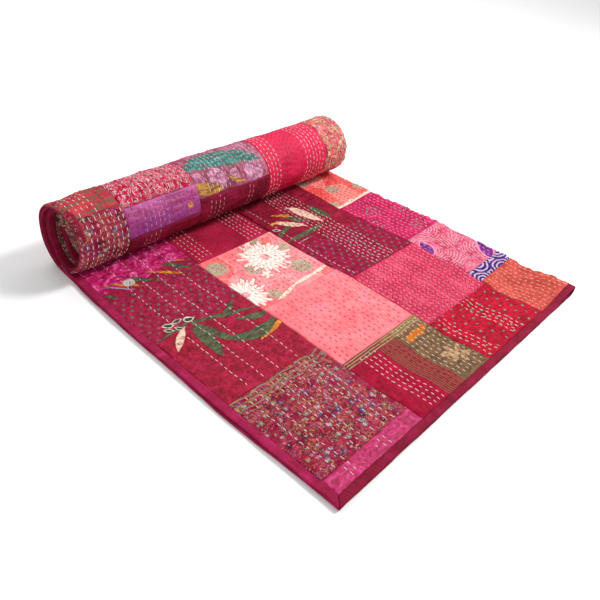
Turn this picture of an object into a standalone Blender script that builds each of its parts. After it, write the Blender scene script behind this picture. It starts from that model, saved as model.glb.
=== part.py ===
"""A bound patchwork quilt, folded in half along its length and partly rolled up.

The quilt is 1.52 m by 2.29 m. It is folded down the middle, so that two layers lie on each other and
the fold is the right-hand edge. The far end is rolled up towards the front edge, and the roll lies on
the part that is still flat. Metres, +Z up, +Y from the front edge to the roll, and +X along the roll
from the open edges to the fold.
"""

from math import cos, exp, floor, pi, radians, sin, sqrt

import bmesh
import bpy
from mathutils import Matrix, Vector

# The quilt as it was sewn
QUILT_WIDTH = 1.52
QUILT_LENGTH = 2.29
LAYER = 0.0034
BINDING_WIDTH = 0.015

# The fold
FOLDED_WIDTH = QUILT_WIDTH / 2
FOLD_GAP = 0.0011
BAND = 2 * LAYER + FOLD_GAP
LEFT_BOW = -0.004
FOLD_RISE_FRONT = 0.010
FOLD_RISE_BACK = 0.006
FOLD_REACH = 0.090

# The wavy fold: distance from the front edge, and how far it stands beyond the middle line of the quilt
FOLD_LINE = (
    (0.000, 0.010),
    (0.040, 0.009),
    (0.096, -0.008),
    (0.140, -0.001),
    (0.230, 0.005),
    (0.340, -0.001),
    (0.460, -0.015),
    (0.530, -0.022),
)

# Where the lower layer shows beyond the upper one: distance from the front edge, reach, and how far
PEEKS = (
    (0.210, 0.090, 0.0040),
    (0.600, 0.050, 0.0030),
)

# The roll
ROLL_RADIUS = 0.0725
ROLL_Y = 0.678
TURN_GAP = 0.0009
PITCH = BAND + TURN_GAP
TELESCOPE = 0.012
ROLL_LEFT = 0.006
HUB_DIMPLE = 0.003
LUMP = 0.0016
CREASE_ANGLE = radians(10)
CREASE_DEPTH = 0.003

# How finely it is built
FIT = 0.0003
STATIONS_ACROSS = 14
STATIONS_ALONG = 21
TURN_STEPS = 20
ROLL_STEPS = 40
FOLD_STEPS = 3
RIPPLE = 0.0007

# Where the hidden slot between the two layers and the spiral groove of the folded end run
SLOT_END = ROLL_Y - 0.10
SLOT_STEPS = 14
GROOVE_WIDTH = 0.0022
GROOVE_DEPTH = 0.006

CRIMSON = (0.42, 0.012, 0.055, 1.0)
WINE = (0.36, 0.010, 0.060, 1.0)


def smooth(t):
    """0 at and below 0, 1 at and above 1, with level ends."""
    t = min(max(t, 0.0), 1.0)
    return t * t * (3 - 2 * t)


def bump(value, centre, reach):
    """A bell of height 1 round the centre."""
    return exp(-(((value - centre) / reach) ** 2))


def left_edge(s):
    """X of the open long edges at the distance s along the quilt. In the roll they stand back a little."""
    return LEFT_BOW * sin(pi * min(s, ROLL_Y) / ROLL_Y) + ROLL_LEFT * smooth((s - 0.48) / 0.18)


def peek(s):
    """How far the lower layer's open edge shows beyond the upper one's."""
    return sum(far * bump(s, centre, reach) for centre, reach, far in PEEKS if s < ROLL_Y) * smooth(s / 0.1)


def fold_edge(s):
    """X of the fold, which runs wide at the front and narrow at the roll, and waves between them."""
    beyond = FOLD_LINE[0][1]
    for (near, start), (far, end) in zip(FOLD_LINE, FOLD_LINE[1:]):
        beyond += (end - start) * smooth((s - near) / (far - near))
    return FOLDED_WIDTH + beyond


def fold_rise(s):
    """How much the fold springs open: most at the front corner, and not at all in the roll."""
    along = FOLD_RISE_FRONT * bump(s, 0.0, 0.10) + FOLD_RISE_BACK
    return along * (1 - smooth((s - ROLL_Y + 0.14) / 0.10))


def rise(x, s):
    """Extra height of the upper layer where it nears the sprung fold."""
    return fold_rise(s) * smooth(1 - (fold_edge(s) - x) / FOLD_REACH)


def ripple(x, s):
    """The gentle unevenness of quilted cloth, kept off the open edges."""
    wave = sin(31 * x + 9 * s) * sin(23 * s - 7 * x + 1.3) + 0.6 * sin(64 * x + 1.0) * sin(51 * s)
    return RIPPLE * wave * smooth(x / 0.08) * smooth(s / 0.06)


def top(x, s):
    """Height of the folded quilt's upper face where it lies flat."""
    return BAND + rise(x, s) + ripple(x, s)


def roll_point(radius, angle, x):
    """A point of the roll, angle 0 at the bottom and growing up the back, over the top and down the front."""
    lift = smooth((1 - cos(angle)) / 1.2)
    lump = LUMP * lift * (sin(9 * x + 2 * angle) + 0.6 * sin(21 * x - 3 * angle + 0.7))
    r = radius * (1 + lump / ROLL_RADIUS)
    return Vector((x, ROLL_Y + r * sin(angle), ROLL_RADIUS - r * cos(angle)))


def turn_radius(angle, depth):
    """Radius of the spiral after that angle, at that depth below the outer face of the doubled cloth."""
    return ROLL_RADIUS - depth - PITCH * angle / (2 * pi)


def total_angle():
    """The angle through which the rest of the quilt's length is rolled up."""
    middle = ROLL_RADIUS - BAND / 2
    rolled = QUILT_LENGTH - ROLL_Y
    return (middle - sqrt(middle**2 - PITCH * rolled / pi)) * 2 * pi / PITCH


def telescope(radius):
    """How far a turn of that radius stands to the right of the outermost one."""
    return TELESCOPE * (1 - radius / ROLL_RADIUS)


def place(x, s, depth):
    """A point of the folded quilt at the distance s, that depth from its lower face (outer in the roll)."""
    if s <= ROLL_Y:
        share = depth / BAND
        return Vector((x, s, depth + share * rise(x, s) + ripple(x, s) * smooth(2 * share - 1)))
    middle = ROLL_RADIUS - BAND / 2
    angle = (middle - sqrt(middle**2 - PITCH * (s - ROLL_Y) / pi)) * 2 * pi / PITCH
    radius = turn_radius(angle, depth)
    return roll_point(radius, angle, x + telescope(radius))


def flat_distances():
    """Even steps along the quilt where it lies flat, from the front binding on."""
    return [BINDING_WIDTH + (ROLL_Y - BINDING_WIDTH) * i / STATIONS_ALONG for i in range(STATIONS_ALONG)]


def rolled_distances():
    """Distances along the quilt at even angles in the roll."""
    middle = ROLL_RADIUS - BAND / 2
    count = floor(total_angle() / (2 * pi) * TURN_STEPS)
    angles = [2 * pi * i / TURN_STEPS for i in range(count + 1)]
    return [ROLL_Y + middle * a - PITCH * a * a / (4 * pi) for a in angles]


def material(name, colour):
    made = bpy.data.materials.new(name)
    made.use_nodes = True
    shader = made.node_tree.nodes["Principled BSDF"]
    shader.inputs["Base Color"].default_value = colour
    shader.inputs["Roughness"].default_value = 0.8
    shader.inputs["Metallic"].default_value = 0.0
    return made


def mesh_object(name, mesh, colour):
    bmesh.ops.recalc_face_normals(mesh, faces=mesh.faces)
    data = bpy.data.meshes.new(name)
    mesh.to_mesh(data)
    mesh.free()
    data.shade_smooth()
    data.set_sharp_from_angle(angle=radians(50))
    data.materials.append(material(name, colour))
    made = bpy.data.objects.new(name, data)
    bpy.context.scene.collection.objects.link(made)
    return made


def sweep(rings):
    """A closed solid through rings of points that match, with a flat cap at each end."""
    mesh = bmesh.new()
    made = [[mesh.verts.new(p) for p in ring] for ring in rings]
    for near, far in zip(made, made[1:]):
        for i in range(len(near)):
            j = (i + 1) % len(near)
            mesh.faces.new((near[i], near[j], far[j], far[i]))
    mesh.faces.new(made[0])
    mesh.faces.new(made[-1])
    return mesh


def strip_section(low, high, outer):
    """Corners of a binding strip's section as (depth, share of its width), rounded at the outer edge."""
    chamfer = outer * (high - low)
    return [
        (low, 1.0),
        (high, 1.0),
        (high, chamfer / BINDING_WIDTH),
        (high - chamfer, 0.0),
        (low + chamfer, 0.0),
        (low, chamfer / BINDING_WIDTH),
    ]


def long_binding(name, low, high, shown):
    """The strip along one open long edge, mitred at the front corner and wound with the roll.

    shown is 1 for the lower layer, whose edge shows beyond the other, and 0 for the upper one.
    """
    section = strip_section(low, high, 0.3)
    rings = []
    for i, s in enumerate([0.0] + flat_distances()[1:] + rolled_distances()):
        ring = []
        for depth, share in section:
            across = share * (BINDING_WIDTH - FIT)
            along = across + 2 * FIT if i == 0 else s
            beyond = shown * peek(along) * (1 - share)
            ring.append(place(left_edge(along) + across - beyond, along, depth))
        rings.append(ring)
    return mesh_object(name, sweep(rings), CRIMSON)


def fold_path(s, depth, start):
    """Points (x, z) of one surface of the fold at s, from the open edge, round the fold and back."""
    edge, height = fold_edge(s), BAND + fold_rise(s)
    middle, radius = height / 2, height / 2
    near = [start + (edge - radius - start) * i / STATIONS_ACROSS for i in range(STATIONS_ACROSS + 1)]
    below = [(x, depth) for x in near]
    steps = 2 * FOLD_STEPS + 2
    angles = [-pi / 2 + pi * i / steps for i in range(1, steps)]
    around = [(edge - radius + (radius - depth) * cos(a), middle + (radius - depth) * sin(a)) for a in angles]
    above = [(x, top(x, s) - depth) for x in reversed(near)]
    return below + around + above


def front_binding():
    """The strip along the front edge: under the lower layer, round the fold and over the upper layer."""
    rings = []
    outer = fold_path(0.0, 0.0, left_edge(0.0))
    inner = fold_path(0.0, LAYER, left_edge(0.0))
    chamfer = 0.3 * LAYER
    for i, ((xo, zo), (xi, zi)) in enumerate(zip(outer, inner)):
        ends = (0, len(outer) - 1)
        ring = []
        for share, y in ((0.0, BINDING_WIDTH - FIT), (1.0, BINDING_WIDTH - FIT), (1.0, chamfer),
                         (0.7, 0.0), (0.3, 0.0), (0.0, chamfer)):
            mitre = y + FIT if i in ends else 0.0
            ring.append(Vector((xo + (xi - xo) * share + mitre, y, zo + (zi - zo) * share)))
        rings.append(ring)
    return mesh_object("binding_front", sweep(rings), CRIMSON)


def outline(across, rounding):
    """One closed outline of the cloth, front to roll and back, at a share of its width.

    rounding is the angle by which the outline has turned over the fold's edge: 0 away from it.
    """
    points = []
    shrink = 1 - cos(rounding)

    def cloth_x(s, half):
        near, far = left_edge(s) + BINDING_WIDTH, fold_edge(s) - half
        return near + (far - near) * across + half * sin(rounding)

    flat = flat_distances()
    for s in flat:
        half = (BAND + fold_rise(s)) / 2
        points.append(Vector((cloth_x(s, half), s, half * shrink)))
    half = BAND / 2
    last = 2 * pi - CREASE_ANGLE
    for i in range(ROLL_STEPS + 1):
        angle = last * i / ROLL_STEPS
        radius = turn_radius(angle, half * shrink)
        points.append(roll_point(radius, angle, cloth_x(QUILT_LENGTH, half) + telescope(radius)))
    for s in [ROLL_Y - ROLL_RADIUS * sin(CREASE_ANGLE) - CREASE_DEPTH] + flat[::-1]:
        half = (BAND + fold_rise(s)) / 2
        x = cloth_x(s, half)
        points.append(Vector((x, s, top(min(x, fold_edge(s)), s) - half * shrink)))
    return points


def cap(mesh, ring, side):
    """Closes one side: the flat stretch across its thickness, and the roll round its centre."""
    pairs = STATIONS_ALONG
    for i in range(pairs):
        under, over = ring[i : i + 2], [ring[-1 - i], ring[-2 - i]]
        mesh.faces.new((under[0], under[1], over[1], over[0]))
    rolled = ring[pairs : len(ring) - pairs - 1]
    mesh.faces.new((rolled[0], rolled[-1], ring[-1 - pairs]))
    edge = fold_edge(QUILT_LENGTH) - HUB_DIMPLE if side else left_edge(QUILT_LENGTH) + BINDING_WIDTH
    hub = mesh.verts.new((edge + TELESCOPE, ROLL_Y, ROLL_RADIUS))
    for i in range(len(rolled)):
        mesh.faces.new((rolled[i], rolled[(i + 1) % len(rolled)], hub))


def cloth_body():
    """The doubled cloth and the wound roll as one body, with the fold's edge rounded over."""
    outlines = [outline(i / STATIONS_ACROSS, 0.0) for i in range(STATIONS_ACROSS + 1)]
    outlines += [outline(1.0, radians(75) * (i + 1) / FOLD_STEPS) for i in range(FOLD_STEPS)]
    mesh = bmesh.new()
    rings = [[mesh.verts.new(p) for p in points] for points in outlines]
    for near, far in zip(rings, rings[1:]):
        for i in range(len(near)):
            j = (i + 1) % len(near)
            mesh.faces.new((near[i], near[j], far[j], far[i]))
    cap(mesh, rings[0], 0)
    cap(mesh, rings[-1], 1)
    return mesh_object("quilt_cloth", mesh, WINE)


def slot_cutter():
    """The gap between the two layers: thin, open at the front and left, and wide inside the sprung fold."""
    rings = []
    for i in range(SLOT_STEPS + 1):
        s = -0.01 + (SLOT_END + 0.01) * i / SLOT_STEPS
        edge, height = fold_edge(s), BAND + fold_rise(s)
        radius = height / 2 - LAYER
        start, stop = left_edge(s) - 0.01, edge - height / 2
        xs = [start + (stop - start) * j / STATIONS_ACROSS for j in range(STATIONS_ACROSS + 1)]
        below = [Vector((x, s, LAYER)) for x in xs]
        around = [Vector((stop + radius * cos(a), s, height / 2 + radius * sin(a))) for a in (-pi / 4, 0, pi / 4)]
        above = [Vector((x, s, max(BAND + rise(x, s) - LAYER, LAYER + FOLD_GAP))) for x in reversed(xs)]
        rings.append(below + around + above)
    return mesh_object("slot_cutter", sweep(rings), WINE)


def groove_cutter():
    """The spiral crease between one turn and the next on the folded end of the roll."""
    rings = []
    count = floor((total_angle() - 2 * pi) / (2 * pi) * TURN_STEPS)
    for i in range(count + 1):
        angle = 2 * pi * (i / TURN_STEPS + 0.15)
        face = fold_edge(QUILT_LENGTH) + telescope(turn_radius(angle, BAND))
        corners = ((face + 0.012, GROOVE_WIDTH), (face - GROOVE_DEPTH, 0.0), (face + 0.012, -GROOVE_WIDTH))
        ring = [roll_point(turn_radius(angle, BAND + off), angle, x) for x, off in corners]
        rings.append(ring)
    return mesh_object("groove_cutter", sweep(rings), WINE)


def cut(body, cutter):
    """Takes the cutter's shape out of the body."""
    cutter.hide_render = True
    cutter.display_type = "WIRE"
    taken = body.modifiers.new(cutter.name, "BOOLEAN")
    taken.operation = "DIFFERENCE"
    taken.object = cutter


def centre_on_base(objects):
    """Moves the objects so that the origin is the middle of the base."""
    points = [v.co for o in objects for v in o.data.vertices if not o.hide_render]
    middle = [(min(p[i] for p in points) + max(p[i] for p in points)) / 2 for i in (0, 1)]
    shift = Matrix.Translation((-middle[0], -middle[1], 0.0))
    for made in objects:
        made.data.transform(shift)
        made.data.update()


def main():
    for old in list(bpy.data.objects):
        bpy.data.objects.remove(old)
    cloth = cloth_body()
    slot = slot_cutter()
    groove = groove_cutter()
    cut(cloth, slot)
    cut(cloth, groove)
    lower = long_binding("binding_lower", 0.0, LAYER, 1)
    upper = long_binding("binding_upper", LAYER + FOLD_GAP, BAND, 0)
    front = front_binding()
    centre_on_base([cloth, slot, groove, lower, upper, front])


main()
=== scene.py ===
from math import atan2, cos, hypot, pi, radians, sin

import bpy
import numpy as np
from mathutils import Matrix, Vector


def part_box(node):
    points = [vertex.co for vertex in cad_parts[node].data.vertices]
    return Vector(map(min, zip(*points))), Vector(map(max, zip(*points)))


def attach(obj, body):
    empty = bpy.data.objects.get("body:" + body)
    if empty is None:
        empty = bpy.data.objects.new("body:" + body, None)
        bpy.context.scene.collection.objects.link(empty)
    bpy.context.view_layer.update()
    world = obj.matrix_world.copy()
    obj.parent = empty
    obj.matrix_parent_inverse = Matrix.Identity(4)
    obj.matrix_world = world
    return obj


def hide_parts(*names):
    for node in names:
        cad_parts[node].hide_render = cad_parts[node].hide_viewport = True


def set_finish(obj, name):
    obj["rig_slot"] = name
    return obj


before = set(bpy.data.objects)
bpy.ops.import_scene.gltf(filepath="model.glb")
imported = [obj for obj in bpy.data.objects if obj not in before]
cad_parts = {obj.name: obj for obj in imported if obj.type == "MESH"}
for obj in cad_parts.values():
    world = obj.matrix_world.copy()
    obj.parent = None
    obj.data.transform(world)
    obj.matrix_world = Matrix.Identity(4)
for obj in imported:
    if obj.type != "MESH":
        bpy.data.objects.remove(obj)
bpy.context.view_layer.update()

# The folded and rolled form, in metres, as the solids have it
FOLDED_WIDTH = 0.76
QUILT_LENGTH = 2.29
LAYER = 0.0034
FOLD_GAP = 0.0011
BAND = 2 * LAYER + FOLD_GAP
BINDING_WIDTH = 0.015
LEFT_BOW = -0.004
FOLD_RISE_FRONT = 0.01
FOLD_RISE_BACK = 0.006
FOLD_REACH = 0.09
ROLL_RADIUS = 0.0725
ROLL_Y = 0.678
PITCH = BAND + 0.0009
CORE = ROLL_RADIUS - BAND / 2
TELESCOPE = 0.012
ROLL_LEFT = 0.006
LUMP = 0.0016
RIPPLE = 0.0007
FIT = 0.0003

# The wavy fold: distance from the front edge, and how far it stands beyond the middle line of the quilt
FOLD_LINE = (
    (0.0, 0.01),
    (0.04, 0.009),
    (0.096, -0.008),
    (0.14, -0.001),
    (0.23, 0.005),
    (0.34, -0.001),
    (0.46, -0.015),
    (0.53, -0.022),
)

# Where the lower layer shows beyond the upper one: distance from the front edge, reach, and how far
PEEKS = (
    (0.21, 0.09, 0.004),
    (0.6, 0.05, 0.003),
)

# At the open edges the inner turns stand back from the outer two
SECOND_BACK = 0.006
CORE_BACK = 0.024
WANDER = 0.002

# The outer turn's binding curls in, and the turn inside it is pressed. Each span is in radians of the roll:
# where it starts, over how much it grows, where it ends, and over how much it fades
LIP_REACH = 0.016
LIP_DEPTH = 0.01
LIP_DRAW = 0.006
LIP_SPAN = (2.2, 1.0, 5.2, 0.9)
PRESS_REACH = 0.03
PRESS_DEPTH = 0.004
PRESS_SPAN = (8.4, 1.0, 11.6, 0.9)

# The hand quilting
ROW = 0.011
ROW_WANDER = 0.0009
STITCH = 0.0116
STITCH_LENGTH = 0.0072
STITCH_SLANT = 0.0006
STITCH_RISE = 0.0006
STITCH_DIVE = 0.0012
THREAD_RADIUS = 0.0006
PINCH = 0.0014
CRUMPLE = 0.0019
BILLOW = 0.0014
CLOTH_BED = -0.003
LOWEST = -0.0025
SOFT_FLOOR = 0.0005

# The seams between the patches, and the folded edge where a patch meets a binding
SEAM_DIP = 0.0012
SEAM_HALF = 0.0026
SEAM_FLAT = 0.004
SEAM_WANDER = 0.0011

# Where a patch of the roll covers the binding up to the open edge, it lies a little proud and round
OPEN_REACH = 0.02
OPEN_LIFT = 0.0009
OPEN_ROUND = 0.014

# Where the patches start beside the bindings, and how close to them a seam is hidden
BESIDE_BINDING = 0.018
PATCH_START = BINDING_WIDTH - 0.0002

# The camera that fits the photograph's outline, from the corner where the open edge meets the front edge
CAMERA_AT = (-0.479, -0.243, 0.755)
CAMERA_YAW = radians(-52.773)
CAMERA_DOWN = radians(37.765)
CAMERA_ROLL = radians(8.998)
CAMERA_LENS = 39.165

# The front binding's solid gives the place of that corner in the frame
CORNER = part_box("binding_front")[0] - Vector((FIT, 0.0, 0.0))


def smooth(t):
    """0 at and below 0, 1 at and above 1, with level ends."""
    t = np.clip(t, 0.0, 1.0)
    return t * t * (3 - 2 * t)


def bump(value, centre, reach):
    """A bell of height 1 round the centre."""
    return np.exp(-(((value - centre) / reach) ** 2))


def lattice(i, j, seed):
    """A fixed number from 0 to 1 for each whole-number place."""
    n = np.sin(i * 127.1 + j * 311.7 + seed * 74.7) * 43758.5453
    return n - np.floor(n)


def hills(x, y, seed=0):
    """Smooth uneven hills from -1 to 1, one unit wide."""
    i, j = np.floor(x), np.floor(y)
    a, b = smooth(x - i), smooth(y - j)
    near = lattice(i, j, seed) * (1 - a) + lattice(i + 1, j, seed) * a
    far = lattice(i, j + 1, seed) * (1 - a) + lattice(i + 1, j + 1, seed) * a
    return 2 * (near * (1 - b) + far * b) - 1


def left_edge(s):
    """X of the open long edges at the distance s along the quilt."""
    return LEFT_BOW * np.sin(pi * np.minimum(s, ROLL_Y) / ROLL_Y) + ROLL_LEFT * smooth((s - 0.48) / 0.18)


def fold_edge(s):
    """X of the fold."""
    beyond = FOLD_LINE[0][1]
    for (near, start), (far, end) in zip(FOLD_LINE, FOLD_LINE[1:]):
        beyond = beyond + (end - start) * smooth((s - near) / (far - near))
    return FOLDED_WIDTH + beyond + 0.0026 * hills(s / 0.03, s * 0 + 2, 14) * smooth((ROLL_Y - s) / 0.1)


def fold_rise(s):
    """How much the fold springs open: most at the front corner, and not at all in the roll."""
    along = FOLD_RISE_FRONT * bump(s, 0.0, 0.1) + FOLD_RISE_BACK
    return along * (1 - smooth((s - ROLL_Y + 0.14) / 0.1))


def peek(s):
    """How far the lower layer's open edge shows beyond the upper one's."""
    total = sum(far * bump(s, centre, reach) for centre, reach, far in PEEKS)
    return total * smooth(s / 0.1) * (s < ROLL_Y)


def ripple(x, s):
    """The gentle unevenness of the flat part, kept off the open edges."""
    long_waves = np.sin(31 * x + 9 * s) * np.sin(23 * s - 7 * x + 1.3)
    short_waves = 0.6 * np.sin(64 * x + 1.0) * np.sin(51 * s)
    return RIPPLE * (long_waves + short_waves) * smooth(x / 0.08) * smooth(s / 0.06)


def between(value, start, grow, end, fade):
    """1 between the start and the end, and 0 outside them, with smooth changes."""
    return smooth((value - start) / grow) * (1 - smooth((value - end) / fade))


def roll_angle(past):
    """The angle in the roll at a distance past its start."""
    return (CORE - np.sqrt(np.maximum(CORE**2 - PITCH * past / pi, 0.0))) * 2 * pi / PITCH


def roll_lengths(count):
    """Distances along the quilt at even angles in the roll."""
    angles = np.linspace(0, roll_angle(QUILT_LENGTH - ROLL_Y), count)
    return ROLL_Y + CORE * angles - PITCH * angles**2 / (4 * pi)


def embed(x, s, depth):
    """Points of the cloth at x across, s along and that depth above its lower face, as x, y, z."""
    x, s, depth = np.broadcast_arrays(x, s, depth)
    rolled = s > ROLL_Y
    angle = roll_angle(np.where(rolled, s - ROLL_Y, 0.0))
    radius = ROLL_RADIUS - depth - PITCH * angle / (2 * pi)
    lift = smooth((1 - np.cos(angle)) / 1.2)
    lump = LUMP * lift * (np.sin(9 * x + 2 * angle) + 0.6 * np.sin(21 * x - 3 * angle + 0.7))
    lip = np.clip(1 - x / LIP_REACH, 0.0, 1.0) ** 2 * between(angle, *LIP_SPAN)
    pressed = smooth(1 - x / PRESS_REACH) * between(angle, *PRESS_SPAN)
    away = radius * (1 + lump / ROLL_RADIUS) - LIP_DEPTH * lip - PRESS_DEPTH * pressed
    back = SECOND_BACK * smooth((angle - 5.6) / 1.4) + CORE_BACK * smooth((angle - 11.6) / 2.0)
    back = back + WANDER * np.sin(1.7 * angle) * smooth((angle - 3) / 3)
    shift = TELESCOPE * (1 - radius / ROLL_RADIUS) * smooth(angle / 0.6) + LIP_DRAW * lip
    shift = shift + back * np.clip(1 - x / FOLDED_WIDTH, 0.0, 1.0)
    across = np.where(rolled, x + shift, x)
    along = np.where(rolled, ROLL_Y + away * np.sin(angle), s)
    height = np.maximum(np.where(rolled, ROLL_RADIUS - away * np.cos(angle), depth), 0.0)
    return np.stack([across, along, height], axis=-1) + np.array([CORNER.x, CORNER.y, 0.0])


def surface(w, s, lift):
    """Points at that lift off the outer face of the folded quilt.

    w runs over the upper layer from its open edge to the fold, and back under the lower one to its own.
    """
    w, s, lift = np.broadcast_arrays(w, s, lift)
    left, edge = left_edge(s), fold_edge(s)
    radius = (BAND + fold_rise(s)) / 2
    straight = FOLDED_WIDTH - pi * radius / 2
    run = edge - radius - left
    share = np.minimum(w, 2 * FOLDED_WIDTH - w) / straight
    x = left + share * run
    rise = fold_rise(s) * smooth(1 - (edge - radius - x) / FOLD_REACH)
    upper, lower = w < straight, w > 2 * FOLDED_WIDTH - straight
    turn = pi / 2 - (w - straight) / radius
    depth = np.where(upper, BAND + rise + ripple(x, s) + lift, -lift)
    bent = ~(upper | lower)
    x = np.where(bent, edge - radius + (radius + lift) * np.cos(turn), x)
    depth = np.where(bent, radius + (radius + lift) * np.sin(turn), depth)
    return embed(x, s, depth)


def row_at(k, s):
    """W of the quilting row of that number, which the hand let wander."""
    return k * ROW + ROW_WANDER * hills(s / 0.09, k * 0.37, 1)


def quilting(w, s, loose=1.0):
    """Height of the stitched cloth: drawn in along the rows, crumpled between them, and a little uneven.

    loose is more for a thin silk that crumples, and less for a firm cotton.
    """
    k = np.round(w / ROW)
    away = np.clip(np.abs(w - row_at(k, s)) / (ROW / 2), 0.0, 1.0)
    phase = s / STITCH + lattice(k, 0, 3)
    drawn = 0.65 + 0.45 * hills(s / 0.05, k * 0.7, 4)
    pinch = (1 - away) ** 2 * (0.55 + 0.45 * np.cos(2 * pi * phase)) * drawn
    slope = 0.45 * hills(w / 0.07, s / 0.07, 9)
    crumple = hills(w / 0.022 + slope, s / 0.0068 + 2 * slope, 5) + 0.5 * hills(w / 0.01, s / 0.0048, 6)
    billow = hills(w / 0.045, s / 0.034, 7) + 0.8 * hills(w / 0.11, s / 0.12, 8)
    crumpled = CRUMPLE * loose * crumple * (0.4 + 0.6 * away)
    height = crumpled + BILLOW * (0.4 + 0.6 * loose) * billow - PINCH * pinch
    return LOWEST + np.logaddexp(0.0, (height - LOWEST) / SOFT_FLOOR) * SOFT_FLOOR


def mesh_object(name, points, faces, uvs=None):
    """A smooth-shaded mesh, with the cloth's own coordinates in metres as its map."""
    mesh = bpy.data.meshes.new(name)
    mesh.from_pydata(points.reshape(-1, 3).tolist(), [], faces)
    if uvs is not None:
        corners = np.empty(len(mesh.loops), np.int32)
        mesh.loops.foreach_get("vertex_index", corners)
        layer = mesh.uv_layers.new(name="Cloth")
        layer.uv.foreach_set("vector", uvs.reshape(-1, 2)[corners].astype(np.float32).ravel())
    mesh.shade_smooth()
    made = bpy.data.objects.new(name, mesh)
    bpy.context.scene.collection.objects.link(made)
    return made


def grid_faces(rows, columns, closed=False, flip=False, first=0):
    """Quads between rows of points. closed joins the last column to the first."""
    i, j = np.meshgrid(np.arange(rows - 1), np.arange(columns if closed else columns - 1), indexing="ij")
    i, j = i.ravel(), j.ravel()
    after = (j + 1) % columns
    here, above = i * columns, (i + 1) * columns
    quads = np.stack([here + j, here + after, above + after, above + j], 1)
    return ((quads[:, ::-1] if flip else quads) + first).tolist()


def rim_of(columns, rows):
    """The numbers of a grid's outer points, in order round it."""
    last = columns * (rows - 1)
    return np.concatenate([np.arange(columns), columns * np.arange(2, rows + 1) - 1,
                           last + np.arange(columns - 2, -1, -1), columns * np.arange(rows - 2, 0, -1)])


def rim_faces(rim, below, flip=False):
    """Quads from a grid's outer points to the points below them."""
    quads = np.stack([np.roll(rim, -1), rim, below, np.roll(below, -1)], 1)
    return (quads[:, ::-1] if flip else quads).tolist()


def dye(code):
    """A colour for a shader from its usual six-figure code."""
    parts = [(code >> shift & 255) / 255 for shift in (16, 8, 0)]
    return [c / 12.92 if c <= 0.04045 else ((c + 0.055) / 1.055) ** 2.4 for c in parts] + [1.0]


# How much a cotton reflects
PLAIN_GLOSS = 0.06


class Value:
    """A socket of a fabric. Arithmetic on it adds Math nodes."""

    def __init__(self, fabric, socket):
        self.fabric = fabric
        self.socket = socket

    def __add__(self, other):
        return self.fabric.math("ADD", self, other)

    def __sub__(self, other):
        return self.fabric.math("SUBTRACT", self, other)

    def __rsub__(self, other):
        return self.fabric.math("SUBTRACT", other, self)

    def __mul__(self, other):
        return self.fabric.math("MULTIPLY", self, other)

    def __truediv__(self, other):
        return self.fabric.math("DIVIDE", self, other)

    def __pow__(self, other):
        return self.fabric.math("POWER", self, other)

    def __abs__(self):
        return self.fabric.math("ABSOLUTE", self)

    __radd__ = __add__
    __rmul__ = __mul__


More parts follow.
